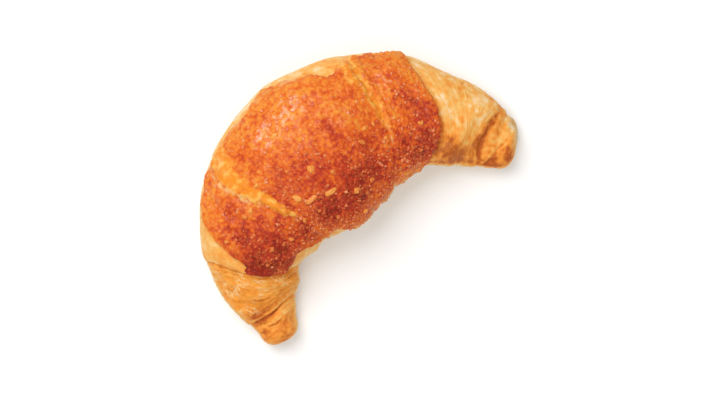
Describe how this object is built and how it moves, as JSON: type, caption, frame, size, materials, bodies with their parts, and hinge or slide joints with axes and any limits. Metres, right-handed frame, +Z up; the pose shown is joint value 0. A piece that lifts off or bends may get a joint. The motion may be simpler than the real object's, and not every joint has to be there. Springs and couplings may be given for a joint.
{
  "type": "cheese croissant",
  "caption": "Curved rolled pastry with blunt horns, stepped wraps and a browned crust of baked cheese over its middle, flat underneath.",
  "frame": {"origin": "centre of the bounding box, at the flat base that rests on the table", "axes": "+X runs from the left horn to the right horn, +Y towards the round back of the crescent, +Z up"},
  "size_m": [0.1516, 0.0958, 0.0484],
  "materials": {
    "dough": "baked golden dough, stands in for pastry",
    "cheese": "browned greasy cheese, stands in for baked cheese"
  },
  "bodies": {
    "root": {"rolled_dough": "dough", "cheese_crust": "cheese"}
  },
  "joints": []
}
